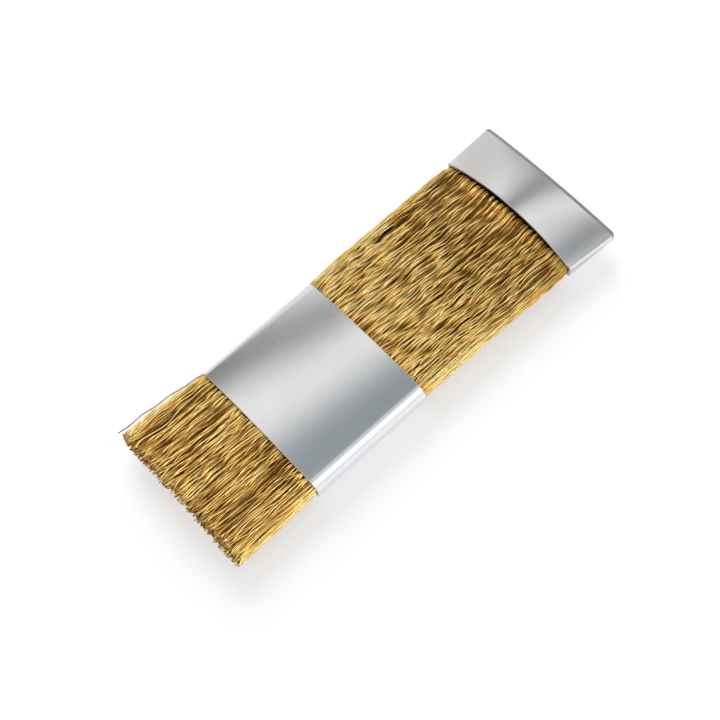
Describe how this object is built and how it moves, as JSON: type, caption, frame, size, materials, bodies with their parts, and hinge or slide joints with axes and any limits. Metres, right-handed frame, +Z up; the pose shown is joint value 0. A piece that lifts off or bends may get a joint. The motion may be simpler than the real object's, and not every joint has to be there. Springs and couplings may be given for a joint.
{
  "type": "cleaning brush",
  "caption": "Flat brush of crimped brass wires held in a pinched aluminium end cap, with a sliding sleeve that sets the free wire length.",
  "frame": {"origin": "under the middle of the brush, on the surface that it lies on", "axes": "+X along the brush to the closed end of the cap, +Y across it, +Z up from the surface that it lies on"},
  "size_m": [0.0636, 0.0232, 0.0062],
  "materials": {
    "cap_metal": "satin rolled sheet",
    "sleeve_metal": "satin rolled sheet",
    "brass_wire": "fine drawn and crimped wire"
  },
  "bodies": {
    "brush": {"end_cap": "cap_metal", "wire_lock_01": "brass_wire", "wire_lock_02": "brass_wire", "wire_lock_03": "brass_wire", "wire_lock_04": "brass_wire", "wire_lock_05": "brass_wire", "wire_lock_06": "brass_wire", "wire_lock_07": "brass_wire", "wire_lock_08": "brass_wire", "wire_lock_09": "brass_wire", "wire_lock_10": "brass_wire", "wire_lock_11": "brass_wire", "wire_lock_12": "brass_wire", "wire_lock_13": "brass_wire", "wire_lock_14": "brass_wire", "wire_lock_15": "brass_wire", "wire_lock_16": "brass_wire", "wire_lock_17": "brass_wire", "wire_lock_18": "brass_wire"},
    "sleeve": {"sliding_sleeve": "sleeve_metal"}
  },
  "joints": [
    {"name": "sleeve_slide", "type": "slide", "parent": "brush", "child": "sleeve", "axis": [1, 0, 0], "range_m": [-0.0114, 0.022]}
  ]
}
